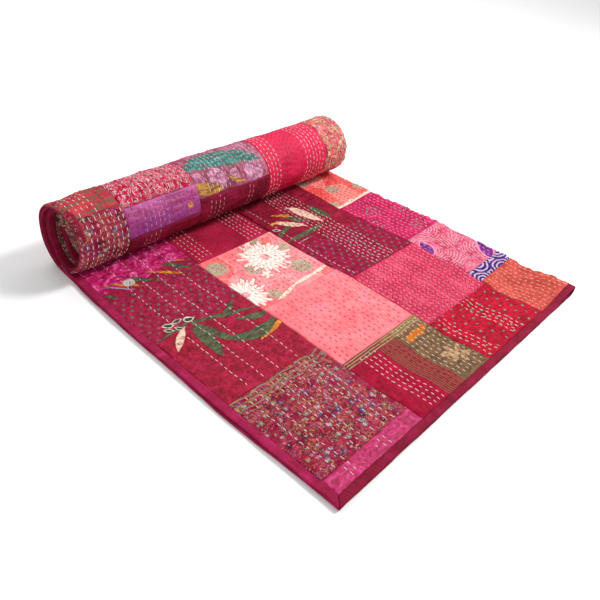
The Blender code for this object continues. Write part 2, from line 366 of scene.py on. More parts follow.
class Fabric:
    """A cloth material being made. u and v are the cloth's own coordinates in metres."""

    def __init__(self, name, seed=0.0, coordinates="map"):
        self.material = bpy.data.materials.new(name)
        self.material.use_nodes = True
        self.tree = self.material.node_tree
        self.shader = self.tree.nodes["Principled BSDF"]
        if coordinates == "map":
            self.flat = self.node("ShaderNodeUVMap", {"uv_map": "Cloth"}, {})
        else:
            self.flat = self.node("ShaderNodeTexCoord", {}, {}, "Object")
        self.u = self.part(self.flat, 0)
        self.v = self.part(self.flat, 1)
        self.at = self.vector("ADD", self.flat, (seed, seed, seed))

    def node(self, kind, settings, inputs, output=0):
        """Adds a node, sets it, and gives its sockets values or links."""
        made = self.tree.nodes.new(kind)
        for key, value in settings.items():
            if key == "stops":
                self.set_stops(made.color_ramp, value)
            else:
                setattr(made, key, value)
        for key, value in inputs.items():
            if isinstance(value, Value):
                self.tree.links.new(value.socket, made.inputs[key])
            else:
                made.inputs[key].default_value = value
        return Value(self, made.outputs[output])

    @staticmethod
    def set_stops(ramp, stops):
        while len(ramp.elements) < len(stops):
            ramp.elements.new(0.5)
        for element, (position, code) in zip(ramp.elements, stops):
            element.position = position
            element.color = dye(code)

    def math(self, operation, *values):
        return self.node("ShaderNodeMath", {"operation": operation}, dict(enumerate(values)))

    def vector(self, operation, first, second, output=0):
        return self.node("ShaderNodeVectorMath", {"operation": operation}, {0: first, 1: second}, output)

    def blend(self, under, over, share):
        """One colour over another. Each is a made colour or a six-figure code."""
        under, over = (dye(colour) if isinstance(colour, int) else colour for colour in (under, over))
        return self.node("ShaderNodeMix", {"data_type": "RGBA"}, {0: share, 6: under, 7: over}, 2)

    def stretch(self, along_u, along_v, seed=0.0):
        """The cloth's coordinates with each direction at its own scale."""
        values = {0: self.at, 1: (seed, seed, 0.0), 3: (along_u, along_v, 1.0)}
        return self.node("ShaderNodeMapping", {}, values)

    def noise(self, scale, detail=2.0, distortion=0.0, at=None):
        values = {"Vector": at or self.at, "Scale": scale, "Detail": detail, "Distortion": distortion}
        return self.node("ShaderNodeTexNoise", {}, values)

    def cells(self, scale, output="Distance", feature="F1", randomness=1.0):
        settings = {"feature": feature, "voronoi_dimensions": "2D"}
        values = {"Vector": self.at, "Scale": scale, "Randomness": randomness}
        return self.node("ShaderNodeTexVoronoi", settings, values, output)

    def part(self, vector, axis):
        return self.node("ShaderNodeSeparateXYZ", {}, {0: vector}, axis)

    def florets(self, colour, scale, radius, petals, codes, keep, rim=0x4A1024):
        """Small scattered flowers with round petals, a dark outline and a pale heart."""
        away = self.vector("SUBTRACT", self.at, self.cells(scale, "Position"))
        a, b = self.part(away, 0), self.part(away, 1)
        pick = self.part(self.cells(scale, "Color"), 0)
        other = self.part(self.cells(scale, "Color"), 1)
        lobe = abs(self.math("COSINE", self.math("ARCTAN2", b, a) * (petals / 2) + other * 6.0))
        reach = (lobe**0.6 * 0.55 + 0.45) * radius * (other * 0.5 + 0.7)
        out = self.math("SQRT", a * a + b * b)
        there = self.below(self.fract(pick * 7.3), keep, 0.01)
        colour = self.blend(colour, rim, self.below(out - reach * 1.3, 0.0, 0.0003) * there * 0.8)
        colour = self.blend(colour, self.palette(pick, codes), self.below(out - reach, 0.0, 0.0003) * there)
        return self.blend(colour, 0xD8BC94, self.below(out - reach * 0.28, 0.0, 0.0003) * there * 0.8)

    def palette(self, value, codes):
        """A colour picked from several by a number from 0 to 1."""
        stops = [(i / len(codes), code) for i, code in enumerate(codes)]
        return self.ramp(value, stops, "CONSTANT")

    def ramp(self, value, stops, interpolation="EASE"):
        made = self.node("ShaderNodeValToRGB", {"stops": stops}, {0: value})
        made.socket.node.color_ramp.interpolation = interpolation
        return made

    def below(self, value, edge, soft=0.0004):
        """1 where the value is under the edge, with a soft change."""
        values = {0: value, 1: edge - soft, 2: edge + soft, 3: 1.0, 4: 0.0}
        return self.node("ShaderNodeMapRange", {"interpolation_type": "SMOOTHSTEP"}, values)

    def above(self, value, edge, soft=0.0004):
        return 1 - self.below(value, edge, soft)

    def any_of(self, masks):
        total = masks[0]
        for mask in masks[1:]:
            total = self.math("MAXIMUM", total, mask)
        return total

    def turned(self, u0, v0, turn):
        """Distances along and across a direction from a point."""
        u, v = self.u - u0, self.v - v0
        return u * cos(turn) + v * sin(turn), v * cos(turn) - u * sin(turn)

    def distance(self, u0, v0):
        return self.vector("DISTANCE", self.flat, (u0, v0, 0.0), 1)

    def leaf(self, start, end, width, bend=0.0):
        """A pointed leaf or stroke from one point to another, bowed to one side by bend."""
        (u0, v0), (u1, v1) = start, end
        half = hypot(u1 - u0, v1 - v0) / 2
        a, b = self.turned((u0 + u1) / 2, (v0 + v1) / 2, atan2(v1 - v0, u1 - u0))
        full = 1 - (a / half) ** 2
        return self.below(abs(b - full * bend) - full * (width / 2), 0.0)

    def fract(self, value):
        return self.math("FRACT", value)

    def spots(self, pitch_u, pitch_v, radius, keep):
        """Small round spots in staggered rows, of which that share is there."""
        row = self.math("FLOOR", self.v / pitch_v)
        u = self.u / pitch_u + row * 0.5
        wander = (self.noise(40.0, 1.0) - 0.5) * 0.3
        a = (self.fract(u + wander) - 0.5) * pitch_u
        b = (self.fract(self.v / pitch_v + wander) - 0.5) * pitch_v
        inside = self.below(self.math("SQRT", a * a + b * b), radius, 0.0007)
        place = self.node("ShaderNodeCombineXYZ", {}, {0: self.math("FLOOR", u), 1: row})
        return inside * self.below(self.node("ShaderNodeTexWhiteNoise", {}, {"Vector": place}), keep, 0.01)

    def lines(self, value, pitch, share, soft=0.08):
        """Even lines across a value, each a share of the pitch wide."""
        return self.below(abs(self.fract(value / pitch) - 0.5) * 2, share, soft)

    def streaks(self, along_u, along_v, detail=2.0, distortion=0.0, seed=0.0):
        """Noise that is drawn out along one direction of the cloth."""
        return self.noise(1.0, detail, distortion, self.stretch(along_u, along_v, seed))

    def finish(self, colour, roughness=0.72, gloss=PLAIN_GLOSS, relief=0.0024, crease_shade=0.12):
        """Connects the colour with the yarn's slubs and faint clouds, and paints shade into the hollows of
        the crumpled cloth across the rows.
        """
        slub = self.streaks(900.0, 70.0, 3.0) + self.streaks(70.0, 900.0, 3.0)
        cloud = self.noise(38.0, 4.0)
        shade = self.below(cloud + slub * 0.25, 0.72, 0.3)
        colour = self.blend(colour, 0x2A0210, shade * 0.07)
        colour = self.blend(colour, 0xFFE6E0, (slub - 0.8) * 0.04)
        crumple = self.streaks(70.0, 240.0, 3.0, 0.4)
        # Painted shade: the colour darkens where the crumple noise is low, in the hollows that the bump
        # also draws
        colour = self.blend(colour, 0x30020E, self.below(crumple, 0.45, 0.1) * crease_shade)
        height = slub * 0.22 + crumple * 1.3 + self.noise(170.0, 3.0) * 0.5 + cloud * 0.8
        normal = self.node("ShaderNodeBump", {}, {"Strength": 0.9, "Distance": relief, "Height": height})
        self.tree.links.new(colour.socket, self.shader.inputs["Base Color"])
        self.tree.links.new((roughness + (slub - 1.0) * 0.18).socket, self.shader.inputs["Roughness"])
        self.tree.links.new(normal.socket, self.shader.inputs["Normal"])
        self.shader.inputs["Metallic"].default_value = 0.0
        self.shader.inputs["Specular IOR Level"].default_value = gloss
        return self.material


def mottled(f, dark, mid, light, scale=45.0, distortion=1.5):
    """A dyed ground with cloudy swirls."""
    value = f.noise(scale, 3.0, distortion)
    return f.ramp(value, [(0.36, dark), (0.5, mid), (0.66, light)])


def swirled_fuchsia(f):
    return mottled(f, 0x9C0440, 0xB8125C, 0xD8387E, 40.0, 3.4)


def sprigs(f, colour, codes, pale):
    """Small outlined flowers, specks and short curled strokes, scattered all over."""
    curls = f.lines(f.noise(36.0, 0.0, 2.2), 0.13, 0.28, 0.08) * f.above(f.noise(58.0, 0.0), 0.46, 0.02)
    colour = f.blend(colour, f.palette(f.noise(40.0, 0.0), pale), curls * 0.95)
    colour = f.florets(colour, 70.0, 0.0046, 5, codes, 0.62)
    curls = f.lines(f.noise(90.0, 0.0, 2.0), 0.17, 0.2, 0.06) * f.above(f.noise(64.0, 0.0), 0.52, 0.02)
    colour = f.blend(colour, f.palette(f.noise(70.0, 0.0), pale[::-1]), curls * 0.9)
    colour = f.florets(colour, 125.0, 0.0022, 4, codes[::-1], 0.4)
    specks = f.below(f.cells(330.0), 0.3, 0.06) * f.above(f.noise(60.0, 1.0), 0.52, 0.02)
    return f.blend(colour, f.palette(f.noise(90.0, 0.0), codes), specks * 0.8)


# The dyes of the sprigs and of the strokes between them, and how far apart the border's scrolls are
SPRIG_CODES = [0x8C8480, 0xBC6444, 0x5C5088, 0xC04C70, 0x8C8064, 0x501430, 0xB09CA0, 0xA0202C]
STROKE_CODES = [0x988878, 0xCC7058, 0xA84450, 0xD49870]
SCROLL_PITCH = 0.021


def paisley_border_print(f):
    """Crimson cloth sown with small sprigs, with a band of khaki scrolls along its far edge."""
    colour = mottled(f, 0x7A0A2C, 0x960E38, 0xA41A4C, 30.0)
    colour = sprigs(f, colour, SPRIG_CODES, STROKE_CODES)
    along = f.v - 0.17 - f.math("SINE", f.u * 130.0) * 0.0022
    band = f.lines(along + 0.0008, 0.0105, 0.24, 0.1) * f.above(along, -0.016) * f.below(along, 0.019)
    a = (f.fract(f.u / SCROLL_PITCH) - 0.5) * SCROLL_PITCH
    b = f.v - 0.172
    rings = f.below(abs(f.math("SQRT", a * a + b * b * 2.2) - 0.0042), 0.0009)
    band = f.any_of([band, rings * f.above(along, -0.012) * f.below(along, 0.016)])
    return f.blend(colour, 0x8E8460, band * 0.9)


def rose(f, colour, u0, v0, radius, code):
    """A rose in the cloth's own shade: broken rings that wind round its middle."""
    away = f.distance(u0, v0)
    wound = f.lines(away + f.noise(60.0, 2.0) * 0.02, 0.0085, 0.5, 0.4)
    inside = f.below(away + (f.noise(50.0, 1.0) - 0.5) * 0.02, radius, 0.006)
    return f.blend(colour, code, wound * inside * 0.4)


# The roses: where, how large, and their dye
ROSES = (
    (0.04, 0.03, 0.026, 0xB01844),
    (0.105, 0.028, 0.03, 0xA81438),
    (0.16, 0.05, 0.024, 0xB01C40),
    (0.03, 0.09, 0.022, 0xA41444),
    (0.18, 0.01, 0.02, 0x9C1034),
)


def leaves_print(f, ground, leaves, strokes, creams, outlined, field, far):
    """The large print of leaves on burgundy, which turns into a small spotted field."""
    start, end = field
    colour = mottled(f, *ground[0], 26.0, 2.2)
    for place in ROSES:
        colour = rose(f, colour, *place)
    mix = f.noise(30.0, 2.0) * 0.03
    in_field = f.above(f.v + mix, start, 0.004) * f.below(f.v + mix, end, 0.004)
    colour = f.blend(colour, mottled(f, *ground[1], 60.0), in_field)
    colour = f.blend(colour, 0x807C70, f.spots(0.019, 0.0125, 0.0024, 0.88) * in_field)
    colour = f.blend(colour, 0x401430, f.spots(0.019, 0.0125, 0.0012, 0.88) * in_field)
    if far is not None:
        # Silky fuchsia beyond the far line: its palest pink is partly the dye's mottling and partly a
        # painted highlight of the silk's sheen
        fuchsia = mottled(f, 0xAC0450, 0xD41470, 0xFA64A8, 34.0, 2.4)
        colour = f.blend(colour, fuchsia, f.above(f.v + mix, far, 0.004))
    vein = f.streaks(60.0, 260.0, 3.0)
    green = f.ramp(vein, [(0.35, 0x3A4630), (0.6, 0x606E4C)])
    gold = f.ramp(vein, [(0.4, 0xC8641C), (0.6, 0xE8A030)])
    for name, over in (("lilac", 0xA49CC0), ("gold", gold)):
        drawn = [f.leaf(*stroke[:3]) for stroke in strokes if stroke[3] == name]
        colour = f.blend(colour, over, f.any_of(drawn))
    edge = f.any_of([f.leaf(a, b, width + 0.0022, *bend) for a, b, width, *bend in leaves])
    colour = f.blend(colour, 0x3C1420, edge * 0.8)
    brushed = f.above(f.streaks(40.0, 150.0, seed=3.0), 0.36, 0.06)
    colour = f.blend(colour, green, f.any_of([f.leaf(*leaf) for leaf in leaves]) * (brushed * 0.6 + 0.4))
    cream = f.ramp(f.noise(120.0, 3.0), [(0.35, 0xD49884), (0.56, 0xF2D0BA)])
    colour = f.blend(colour, cream, f.any_of([f.leaf(*leaf) for leaf in creams]))
    for start, end, width in outlined:
        rim = f.leaf(start, end, width)
        colour = f.blend(colour, 0xD8D4C0, rim)
        middle = [(a + b) / 2 for a, b in zip(start, end)]
        inner = [[m + (p - m) * 0.72 for m, p in zip(middle, point)] for point in (start, end)]
        colour = f.blend(colour, 0x26402C, f.leaf(inner[0], inner[1], width * 0.6))
    return colour


def near_leaves(f):
    """The first leafy patch, in its own metres from its near left corner."""
    leaves = [
        ((0.0, 0.176), (0.09, 0.19), 0.006, 0.002),
        ((0.074, 0.187), (0.206, 0.142), 0.01, -0.002),
        ((0.132, 0.164), (0.18, 0.184), 0.011, -0.003),
        ((0.073, 0.176), (0.067, 0.083), 0.024, 0.003),
        ((0.082, 0.19), (0.118, 0.098), 0.018, -0.008),
        ((0.094, 0.12), (0.212, 0.108), 0.025, -0.024),
        ((0.146, 0.146), (0.214, 0.124), 0.016, -0.01),
        ((0.139, 0.351), (0.189, 0.302), 0.011, 0.004),
        ((0.053, 0.356), (0.115, 0.308), 0.011, 0.003),
        ((0.004, 0.333), (0.02, 0.312), 0.008, 0.002),
    ]
    strokes = [
        ((0.142, 0.074), (0.214, 0.09), 0.014, "gold"),
        ((0.101, 0.351), (0.168, 0.303), 0.007, "gold"),
        ((0.013, 0.361), (0.084, 0.314), 0.006, "gold"),
        ((0.166, 0.349), (0.19, 0.334), 0.005, "gold"),
        ((0.01, 0.357), (0.06, 0.316), 0.003, "lilac"),
        ((0.154, 0.352), (0.182, 0.338), 0.003, "lilac"),
    ]
    creams = [((0.014, 0.136), (0.067, 0.184), 0.014, 0.002)]
    outlined = [
        ((0.034, 0.206), (0.054, 0.196), 0.012),
        ((0.052, 0.202), (0.074, 0.2), 0.01),
        ((0.072, 0.196), (0.094, 0.19), 0.012),
        ((0.05, 0.192), (0.062, 0.178), 0.009),
        ((0.03, 0.196), (0.046, 0.186), 0.008),
    ]
    ground = (0x8E0826, 0xA20A2E, 0xB41242), (0x8C0632, 0x9E0A3C, 0xB01048)
    colour = leaves_print(f, ground, leaves, strokes, creams, outlined, (0.195, 0.345), 0.352)
    disc = f.ramp(f.noise(500.0, 2.0), [(0.4, 0x90847C), (0.55, 0xE8E0D8)])
    return f.blend(colour, disc, f.below(f.distance(0.061, 0.34), 0.012, 0.0006))


def far_leaves(f):
    """The second leafy patch, its grounds a darker copy of the first one's as painted shade."""
    leaves = [
        ((0.15, 0.246), (0.158, 0.178), 0.022, 0.002),
        ((0.0, 0.168), (0.128, 0.176), 0.016, -0.005),
        ((0.06, 0.24), (0.112, 0.196), 0.014, 0.004),
        ((0.012, 0.192), (0.084, 0.214), 0.012, 0.004),
        ((0.0, 0.186), (0.02, 0.2), 0.01, 0.0),
    ]
    strokes = [
        ((0.046, 0.262), (0.09, 0.234), 0.012, "gold"),
        ((0.018, 0.236), (0.06, 0.222), 0.01, "gold"),
        ((0.02, 0.15), (0.06, 0.15), 0.002, "lilac"),
    ]
    creams = [((0.102, 0.272), (0.134, 0.18), 0.024, 0.003), ((0.028, 0.232), (0.088, 0.188), 0.016, 0.003)]
    outlined = [((0.004, 0.214), (0.022, 0.204), 0.008)]
    # Painted shade: the first leafy patch's burgundy grounds, darkened
    ground = (0x7C0622, 0x8E082C, 0xA20E3C), (0x800432, 0x900838, 0xA00C42)
    return leaves_print(f, ground, leaves, strokes, creams, outlined, (-0.1, 0.15), None)


# The gold sprig's blots: where, and how large
GOLD_SPRIG = ((0.148, 0.124, 0.009), (0.162, 0.127, 0.008), (0.176, 0.124, 0.009), (0.19, 0.128, 0.007))


def zoned_stripes(f):
    """Crimson, fine stripes, then khaki with a gold sprig and a pale flower, under a lined border."""
    red = mottled(f, 0x94002A, 0xA60230, 0xB20838, 24.0)
    striped = f.blend(0x8C1428, 0x8C6048, f.lines(f.u + f.noise(20.0, 0.0) * 0.002, 0.005, 0.36, 0.2))
    khaki = mottled(f, 0x60462E, 0x745638, 0x886848, 60.0)
    colour = f.blend(red, striped, f.above(f.u, 0.078, 0.001))
    colour = f.blend(colour, khaki, f.above(f.u, 0.126, 0.001))
    fray = (f.streaks(420.0, 120.0) - 0.5) * 0.016
    for u0, v0, radius in GOLD_SPRIG:
        colour = f.blend(colour, 0xC86E12, f.below(f.distance(u0, v0) + fray, radius))
    stalk = f.leaf((0.15, 0.062), (0.196, 0.03), 0.008)
    bloom = f.any_of([flower(f, 0.178, 0.048, 0.024, 6, 0.4, 0.2), stalk])
    colour = f.blend(colour, 0xC0946C, bloom * f.above(f.noise(160.0, 2.0), 0.42, 0.03) * 0.85)
    border = f.above(f.v, 0.143, 0.0006)
    ground = f.blend(0x7C2030, 0x84683C, f.above(f.u, 0.11, 0.03))
    colour = f.blend(colour, ground, border)
    return f.blend(colour, 0xAC9068, f.lines(f.v - 0.1434, 0.0056, 0.42, 0.15) * border)


def flower(f, u0, v0, radius, petals, turn, inner=0.34, point=0.75):
    """A mask of an open flower with petals of uneven length, more pointed where point is more."""
    a, b = f.turned(u0, v0, turn)
    lobe = abs(f.math("COSINE", f.math("ARCTAN2", b, a) * (petals / 2)))
    edge = (lobe**point * (1 - inner) + inner) * radius
    uneven = (f.noise(45.0, 1.0) - 0.5) * radius * 0.55
    return f.below(f.distance(u0, v0) + uneven, edge, 0.0007)


# A daisy's rounds: dye, size, turned by how much of a petal, hollow, point and strength
DAISY_ROUNDS = (
    (0xC8606C, 1.1, 0, 0.3, 1.1, 0.8),
    (0xF4DCD0, 1.04, 0, 0.22, 1.3, 1.0),
    (0xC8686C, 0.9, 1, 0.22, 1.1, 0.85),
    (0xFDEEE4, 0.84, 1, 0.14, 1.3, 1.0),
)


def daisy(f, colour, u0, v0, radius, petals, turn):
    """A cream daisy in two rounds of petals, with pink between them and a speckled heart."""
    for code, size, step, inner, point, share in DAISY_ROUNDS:
        petal = flower(f, u0, v0, radius * size, petals, turn + step * pi / petals, inner, point)
        colour = f.blend(colour, code, petal * share)
    away = f.distance(u0, v0)
    heart = f.ramp(f.noise(420.0, 2.0), [(0.42, 0xE07080), (0.58, 0xF8C8BC)])
    return f.blend(colour, heart, f.below(away + (f.noise(200.0, 1.0) - 0.5) * 0.006, radius * 0.19, 0.001))


def taupe_spot(f, colour, u0, v0, radius):
    """A round spot of speckled taupe."""
    speckle = f.ramp(f.noise(520.0, 2.0), [(0.38, 0x94786A), (0.5, 0xB8A088), (0.62, 0xC8B8A0)])
    edge = (f.noise(60.0, 1.0) - 0.5) * 0.006
    return f.blend(colour, speckle, f.below(f.distance(u0, v0) + edge, radius, 0.001))


# Spots: where, and how large. The stem's three strokes: from where to where
DAISY_SPOTS = (
    (0.02, 0.142, 0.021), (0.076, 0.1, 0.018), (0.16, 0.052, 0.023),
    (0.143, 0.172, 0.02), (0.052, 0.02, 0.014), (0.184, 0.12, 0.015),
)
DAISY_STEM = (
    ((0.04, 0.002), (0.106, 0.016)),
    ((0.092, 0.015), (0.162, 0.018)),
    ((0.148, 0.016), (0.204, 0.021)),
)
CORAL_SPOTS = ((0.058, 0.07, 0.018), (0.002, 0.016, 0.018), (0.12, 0.04, 0.016), (0.016, 0.128, 0.016))


def daisy_print(f):
    """Salmon and coral fields with taupe spots, two cream daisies and a cream stem."""
    colour = mottled(f, 0xF07C84, 0xF68C92, 0xFAA4A4, 50.0, 0.5)
    pick = f.part(f.cells(15.0, "Color", "F1", 0.8), 0)
    colour = f.blend(colour, 0xF4605F, f.above(pick, 0.66, 0.01) * 0.7)
    rims = f.below(f.cells(15.0, "Distance", "DISTANCE_TO_EDGE", 0.8), 0.016, 0.008)
    colour = f.blend(colour, 0xFCB4AC, rims * 0.5)
    for place in DAISY_SPOTS:
        colour = taupe_spot(f, colour, *place)
    colour = f.blend(colour, 0xF8D8C4, f.any_of([f.leaf(a, b, 0.008) for a, b in DAISY_STEM]))
    colour = daisy(f, colour, 0.126, 0.118, 0.054, 15, 0.2)
    colour = daisy(f, colour, 0.006, 0.05, 0.048, 13, 0.5)
    colour = f.blend(colour, 0xF2D4C8, f.leaf((0.116, 0.16), (0.142, 0.186), 0.011))
    return f.blend(colour, 0xF8DCCC, flower(f, 0.084, 0.072, 0.013, 5, 0.3, 0.12))


def spotted_coral(f):
    """The coral print with taupe spots and a pale near edge."""
    colour = mottled(f, 0xE04C4C, 0xEC5C58, 0xF4746C, 50.0, 0.8)
    field = f.part(f.cells(17.0, "Color", "F1", 0.8), 0)
    colour = f.blend(colour, 0xFCA498, f.above(field, 0.55, 0.01) * 0.6)
    for place in CORAL_SPOTS:
        colour = taupe_spot(f, colour, *place)
    return f.blend(colour, 0xF8DCC8, f.below(f.v + (f.noise(60.0, 2.0) - 0.5) * 0.02, 0.008, 0.003) * 0.9)


def plain(dark, mid, light):
    """A maker of plain dyed cloth in three close shades."""
    return lambda f: mottled(f, dark, mid, light, 22.0, 0.6)


def red_spotted(f):
    """Bright red with pairs of small grey leaves."""
    colour = mottled(f, 0x9C0024, 0xB40028, 0xC6042E, 34.0, 1.0)
    colour = f.blend(colour, 0x6C1828, f.spots(0.03, 0.0145, 0.0036, 0.95) * 0.8)
    grey = f.ramp(f.noise(500.0, 2.0), [(0.4, 0x746458), (0.6, 0xB0A094)])
    return f.blend(colour, grey, f.spots(0.03, 0.0145, 0.0025, 0.95))


# How far apart along the quilt the wavy lines turn
ZIGZAG = 0.015


def zigzag_rose(f):
    """Rose pink with bands of dark wavy lines."""
    colour = mottled(f, 0xC82C50, 0xD83E5E, 0xE25070, 20.0, 0.6)
    zig = abs(f.fract(f.v / ZIGZAG) - 0.5) * ZIGZAG
    value = f.u * 0.7 + zig + (f.noise(26.0, 1.0) - 0.5) * 0.01
    lines = f.lines(value, 0.0072, 0.42, 0.2)
    strength = f.below(abs(f.fract(f.u / 0.052) - 0.5) * 2, 0.86, 0.1)
    return f.blend(colour, 0x981840, lines * strength * 0.85)


def terracotta(f):
    """Coral to terracotta with a few short brown lines of painted shade where small folds would be."""
    colour = mottled(f, 0xBC443C, 0xCE524A, 0xDC6258, 20.0, 0.8)
    # Painted shade: three short brown lines stand for the shade in small folds of the cloth
    crease_shadow_lines = [
        f.leaf((0.026, 0.118), (0.034, 0.132), 0.004),
        f.leaf((0.066, 0.022), (0.1, 0.03), 0.003),
        f.leaf((0.104, 0.03), (0.118, 0.05), 0.003),
    ]
    return f.blend(colour, 0x8A4420, f.any_of(crease_shadow_lines) * 0.8)


def arcs(f, colour, line, centres, pitch, share):
    """Concentric rings round the nearest of several centres, and how far that centre is."""
    away = f.distance(*centres[0])
    for centre in centres[1:]:
        away = f.math("MINIMUM", away, f.distance(*centre))
    wobble = (f.noise(55.0, 1.0) - 0.5) * pitch * 0.7
    return f.blend(colour, line, f.lines(away + wobble, pitch, share, 0.12)), away


def navy_arcs(f):
    colour = mottled(f, 0x22145C, 0x341C74, 0x5C2480, 40.0)
    centres = [(0.01, -0.004), (0.046, 0.038), (0.082, -0.006), (0.118, 0.038), (0.154, -0.004)]
    return arcs(f, colour, 0xC8ACC0, centres, 0.0092, 0.4)[0]


def pink_arcs(f):
    """Pink cloth with fine pale rings round two purple ovals."""
    colour = mottled(f, 0xC42C5C, 0xD44470, 0xE06488, 34.0, 1.0)
    centres = [(0.012, 0.108), (0.112, 0.024), (0.06, 0.17), (0.19, 0.12)]
    ringed, away = arcs(f, colour, 0xE89CB0, centres, 0.0066, 0.36)
    colour = f.blend(colour, ringed, f.above(f.noise(38.0, 1.0), 0.42, 0.05))
    specks = f.below(f.cells(95.0), 0.22, 0.05) * f.above(away, 0.03, 0.004)
    colour = f.blend(colour, 0xA88C74, specks * 0.7)
    purple = mottled(f, 0x601A6C, 0x742480, 0x8C3C98, 50.0)
    ovals = [f.leaf((0.018, 0.134), (0.002, 0.088), 0.026), f.leaf((0.13, 0.054), (0.088, -0.004), 0.03)]
    rim = [f.leaf((0.02, 0.138), (0.0, 0.084), 0.034), f.leaf((0.132, 0.06), (0.086, -0.01), 0.038)]
    colour = f.blend(colour, 0xF090B0, f.any_of(rim))
    return f.blend(colour, purple, f.any_of(ovals))


def hot_pink_sprigs(f):
    """Hot pink with a few loosely drawn grey flowers."""
    colour = mottled(f, 0xAC0C4A, 0xC01456, 0xD0286A, 28.0, 1.2)
    grey = f.ramp(f.noise(300.0, 2.0), [(0.42, 0x4C3844), (0.6, 0xA89CA0)])
    for u0, v0, turn in ((0.05, 0.124, 0.3), (0.082, 0.022, 1.1), (0.002, 0.08, 0.7), (0.118, 0.092, 0.1)):
        ring = flower(f, u0, v0, 0.02, 5, turn, 0.3) - flower(f, u0, v0, 0.0165, 5, turn, 0.3)
        heart = f.below(abs(f.distance(u0, v0) - 0.0045), 0.001)
        broken = f.above(f.noise(190.0, 1.0), 0.44, 0.04)
        colour = f.blend(colour, grey, f.math("MAXIMUM", ring, heart) * broken)
    return colour


def brushed_terracotta(f):
    """Dull red with jagged olive bands brushed across it."""
    colour = mottled(f, 0xA82838, 0xBC3444, 0xCC4448, 30.0)
    ragged = (f.streaks(26.0, 120.0, 4.0, 0.6) - 0.5) * 0.052
    band = f.lines(f.v + f.u * 0.15 + ragged, 0.024, 0.4, 0.12)
    return f.blend(colour, 0x7C5848, band * 0.85)


def sown_multicolour(f):
    """The multicoloured sprigs without the scroll band."""
    return sprigs(f, mottled(f, 0x640A28, 0x8C0E34, 0xA01C50, 30.0), SPRIG_CODES, STROKE_CODES)


def worm_lines(f):
    """Red cloth covered with winding pale lines."""
    colour = mottled(f, 0xA80430, 0xBC0638, 0xCC104C, 40.0)
    winding = f.lines(f.noise(42.0, 0.0, 1.3), 0.092, 0.28, 0.1)
    pale = f.ramp(f.noise(60.0, 1.0), [(0.4, 0xAC8090), (0.6, 0xE4CAD2)])
    return f.blend(colour, pale, winding * f.above(f.noise(120.0, 0.0), 0.34, 0.04) * 0.95)


def silky_purple(f):
    colour = mottled(f, 0xA03078, 0xB03C88, 0xBC4C94, 18.0, 0.8)
    # Painted shade: darker and more violet towards the patch's far end, which on the roll is its lower edge
    # at the front
    colour = f.blend(colour, 0x74207C, f.above(f.v + f.noise(30.0, 2.0) * 0.03, 0.046, 0.014) * 0.55)
    thread = f.below(f.distance(0.15, 0.036) + (f.noise(300.0, 2.0) - 0.5) * 0.01, 0.006)
    return f.blend(colour, 0xC88A20, thread)


# The pale blooms of the mauve cloth: where, and how large
MAUVE_BLOOMS = ((0.06, 0.078, 0.022), (0.158, 0.09, 0.024), (0.012, 0.07, 0.014), (0.108, 0.082, 0.012))


def teal_brush_print(f):
    """Dusty mauve with a broad teal leaf, pale pink blooms and ochre marks."""
    colour = mottled(f, 0x842848, 0xA04464, 0xBC6C88, 26.0, 1.2)
    brush = f.streaks(36.0, 220.0, 3.0, 0.5)
    teal = f.ramp(brush, [(0.32, 0x6C3850), (0.42, 0x14564E), (0.55, 0x2E8078), (0.68, 0x68A49C)])
    fray = (f.streaks(50.0, 120.0) - 0.5) * 0.022
    a, b = f.turned(0.091, 0.058, 0.109)
    full = 1 - (a / 0.108) ** 2
    leaf = f.below(abs(b + fray + full * 0.023) - full * 0.024, 0.0, 0.0025)
    bloom = f.ramp(f.noise(80.0, 3.0, 1.0), [(0.4, 0x9C4C74), (0.52, 0xC884A8), (0.64, 0xE8ACC8)])
    for u0, v0, radius in MAUVE_BLOOMS:
        colour = f.blend(colour, bloom, f.below(f.distance(u0, v0) + fray * 0.5, radius, 0.002) * 0.9)
    colour = f.blend(colour, teal, leaf)
    gold = f.ramp(brush, [(0.36, 0x7C4818), (0.54, 0xC08A28)])
    colour = f.blend(colour, gold, f.leaf((-0.018, 0.084), (0.066, 0.1), 0.026))
    return f.blend(colour, gold, f.leaf((0.086, 0.08), (0.13, 0.1), 0.01, 0.004))


def small_coral_floral(f):
    """Coral cloth closely sown with khaki, lilac and green flowers."""
    colour = mottled(f, 0xC04454, 0xD85C64, 0xE87C7C, 40.0)
    codes = [0xC0A880, 0x9C7C94, 0x84907C, 0xE0C0A4, 0xA83C5C, 0xCC9878]
    colour = f.florets(colour, 64.0, 0.0058, 5, codes, 0.9, 0x8C2C40)
    return f.florets(colour, 120.0, 0.0028, 4, codes[::-1], 0.7, 0x8C2C40)


def pale_sprigs(f):
    """Beige and wine cloth with small sprigs, which shows inside the roll's end."""
    colour = mottled(f, 0x7C4C48, 0xA07C6C, 0xC0A890, 60.0)
    colour = f.florets(colour, 85.0, 0.0042, 5, [0x7A1030, 0x4C4C34, 0xA82844, 0xC8B498], 0.9, 0x3C1420)
    return f.blend(colour, 0x6C0C28, f.lines(f.noise(70.0, 1.0, 1.2), 0.14, 0.26, 0.08) * 0.9)


